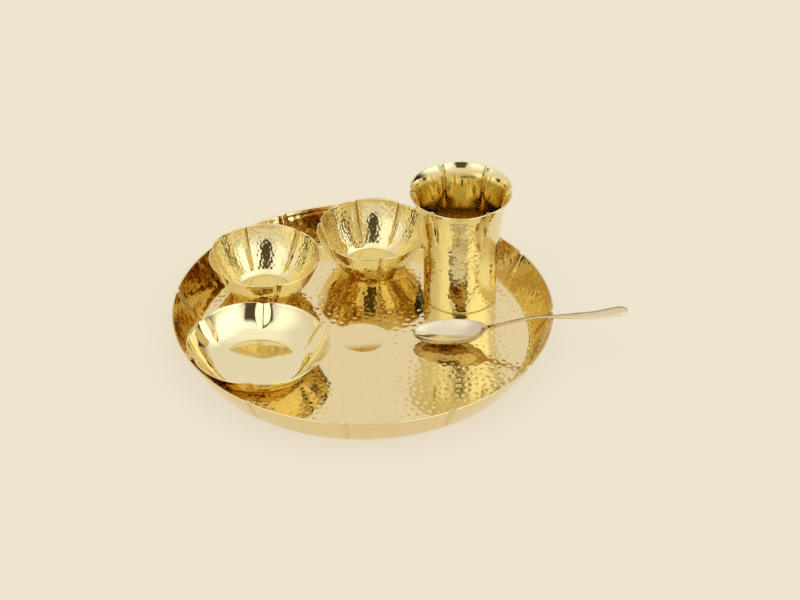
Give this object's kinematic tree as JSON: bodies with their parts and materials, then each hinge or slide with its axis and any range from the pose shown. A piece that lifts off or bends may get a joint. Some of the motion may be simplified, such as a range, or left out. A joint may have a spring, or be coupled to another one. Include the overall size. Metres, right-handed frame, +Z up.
{
  "type": "puja thali set",
  "caption": "Hammered brass thali with fluted walls, holding two deep bowls, a shallow bowl, a flared tumbler and a spoon laid over its rim.",
  "frame": {"origin": "centre of the plate's flat underside, on the surface it rests on", "axes": "+Z up, +X towards the side where the spoon's handle leaves the plate, +Y towards the back bowl"},
  "size_m": [0.3632, 0.3047, 0.1025],
  "materials": {
    "plate_brass": "polished, hand hammered",
    "deep_bowl_brass": "polished, hand hammered",
    "shallow_bowl_brass": "mirror polished",
    "tumbler_brass": "polished, hammered body",
    "spoon_metal": "polished pale nickel brass"
  },
  "bodies": {
    "plate": {"plate": "plate_brass"},
    "katori_left": {"katori_left": "deep_bowl_brass"},
    "katori_back": {"katori_back": "deep_bowl_brass"},
    "shallow_bowl": {"shallow_bowl": "shallow_bowl_brass"},
    "tumbler": {"tumbler": "tumbler_brass"},
    "spoon": {"spoon": "spoon_metal"}
  },
  "joints": [
    {"name": "katori_left_lift", "type": "slide", "parent": "plate", "child": "katori_left", "axis": [0, 0, 1], "range_m": [0, 0.045]},
    {"name": "katori_back_lift", "type": "slide", "parent": "plate", "child": "katori_back", "axis": [-0.0734, 0.0423, 0.9964], "range_m": [0, 0.045]},
    {"name": "shallow_bowl_lift", "type": "slide", "parent": "plate", "child": "shallow_bowl", "axis": [0, 0, 1], "range_m": [0, 0.045]},
    {"name": "tumbler_lift", "type": "slide", "parent": "plate", "child": "tumbler", "axis": [0, 0, 1], "range_m": [0, 0.12]},
    {"name": "spoon_lift", "type": "slide", "parent": "plate", "child": "spoon", "axis": [0, 0, 1], "range_m": [0, 0.12]}
  ]
}
